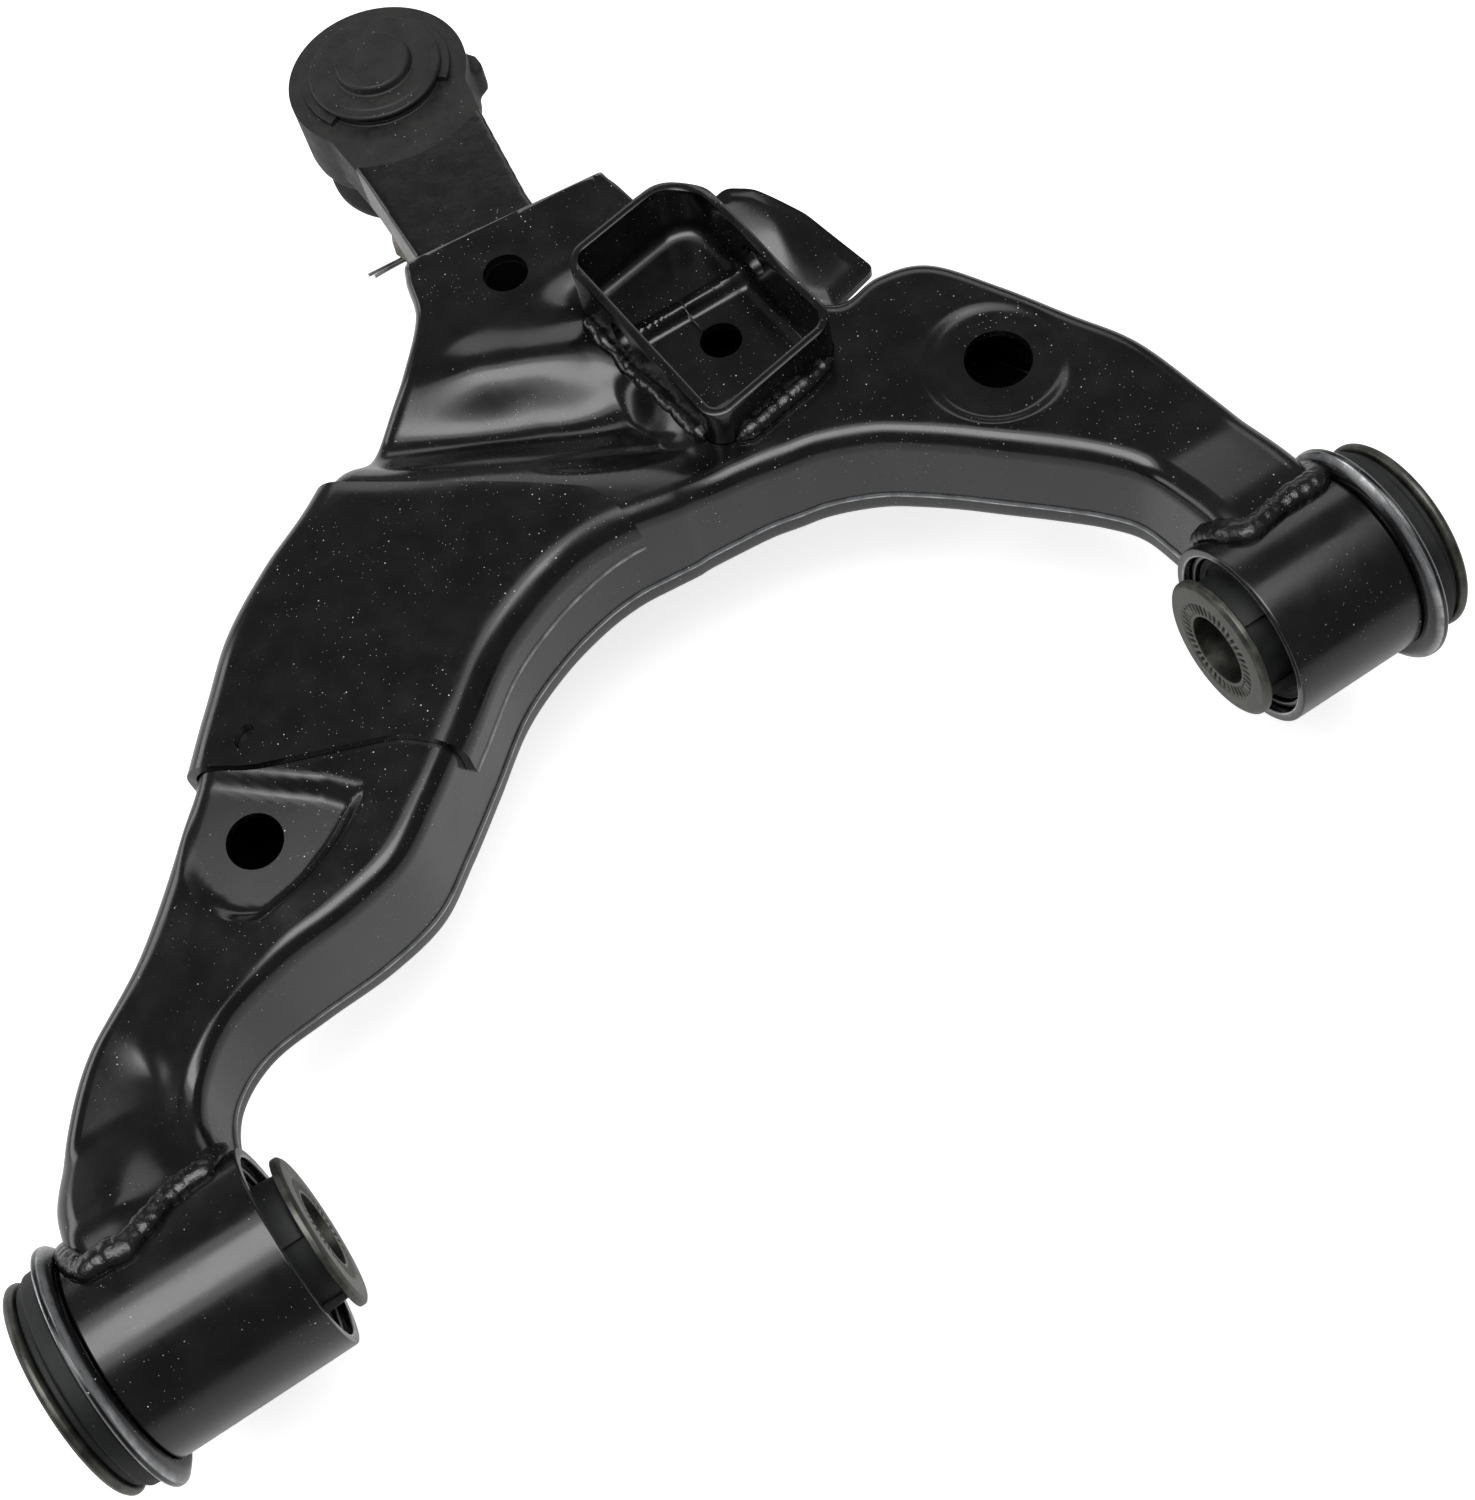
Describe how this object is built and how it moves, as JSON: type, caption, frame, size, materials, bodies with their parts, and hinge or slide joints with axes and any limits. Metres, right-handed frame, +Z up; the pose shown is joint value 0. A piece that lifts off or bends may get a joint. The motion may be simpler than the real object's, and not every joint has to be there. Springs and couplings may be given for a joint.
{
  "type": "suspension control arm",
  "caption": "Pressed-steel wishbone control arm with two rubber pivot bushes, a shock mounting cup, a strike plate and a ball joint at the nose.",
  "frame": {"origin": "middle of the lowest face of the box round the whole arm, under the end of the ball stud", "axes": "+X along the bush axis, +Y outboard from the bushes to the ball joint, +Z up; the ball stud points down"},
  "size_m": [0.5146, 0.4776, 0.1401],
  "materials": {
    "black_ecoat": "gloss black electrocoat on pressed steel",
    "forged_phosphate": "matte dark phosphate on forged steel",
    "sleeve_steel": "dark oxidised machined steel",
    "rubber": "matte moulded rubber",
    "seat_polymer": "moulded acetal",
    "bright_steel": "ground steel",
    "plated_nut": "dull zinc plate"
  },
  "bodies": {
    "arm": {"upper_shell": "black_ecoat", "lower_shell": "black_ecoat", "strike_plate": "black_ecoat", "shock_bracket": "black_ecoat", "side_gusset": "black_ecoat", "nose_forging": "forged_phosphate", "ball_housing": "forged_phosphate", "snap_ring": "forged_phosphate", "ball_seat": "seat_polymer", "boot": "rubber", "boot_ring_large": "bright_steel", "left_eye_tube": "black_ecoat", "left_outer_sleeve": "black_ecoat", "left_bush_rubber": "rubber", "left_thrust_rubber": "rubber", "right_eye_tube": "black_ecoat", "right_outer_sleeve": "black_ecoat", "right_bush_rubber": "rubber", "right_thrust_rubber": "rubber", "left_eye_weld": "black_ecoat", "right_eye_weld": "black_ecoat", "nose_weld": "black_ecoat"},
    "left_core": {"left_inner_sleeve": "sleeve_steel", "left_end_plate": "black_ecoat"},
    "right_core": {"right_inner_sleeve": "sleeve_steel", "right_end_plate": "black_ecoat"},
    "stud_yoke": {"boot_ring_small": "bright_steel"},
    "stud": {"ball_stud": "bright_steel", "castle_nut": "plated_nut", "cotter_pin": "bright_steel"}
  },
  "joints": [
    {"name": "left_bush_twist", "type": "hinge", "parent": "arm", "child": "left_core", "pos_m": [-0.21365, -0.196, 0.09731], "axis": [1, 0, 0], "range_deg": [-25, 25], "stiffness_Nm_per_rad": 70, "deforming": ["left_bush_rubber"]},
    {"name": "right_bush_twist", "type": "hinge", "parent": "arm", "child": "right_core", "pos_m": [0.22135, -0.196, 0.09731], "axis": [1, 0, 0], "range_deg": [-25, 25], "stiffness_Nm_per_rad": 60, "deforming": ["right_bush_rubber"]},
    {"name": "ball_joint_tilt", "type": "hinge", "parent": "arm", "child": "stud_yoke", "pos_m": [0.07065, 0.2025, 0.09531], "axis": [1, 0, 0], "range_deg": [-22, 22], "deforming": ["boot"]},
    {"name": "ball_stud_spin", "type": "hinge", "parent": "stud_yoke", "child": "stud", "pos_m": [0.07065, 0.2025, 0.09531], "axis": [0.0698, 0, 0.9976], "continuous": true}
  ]
}
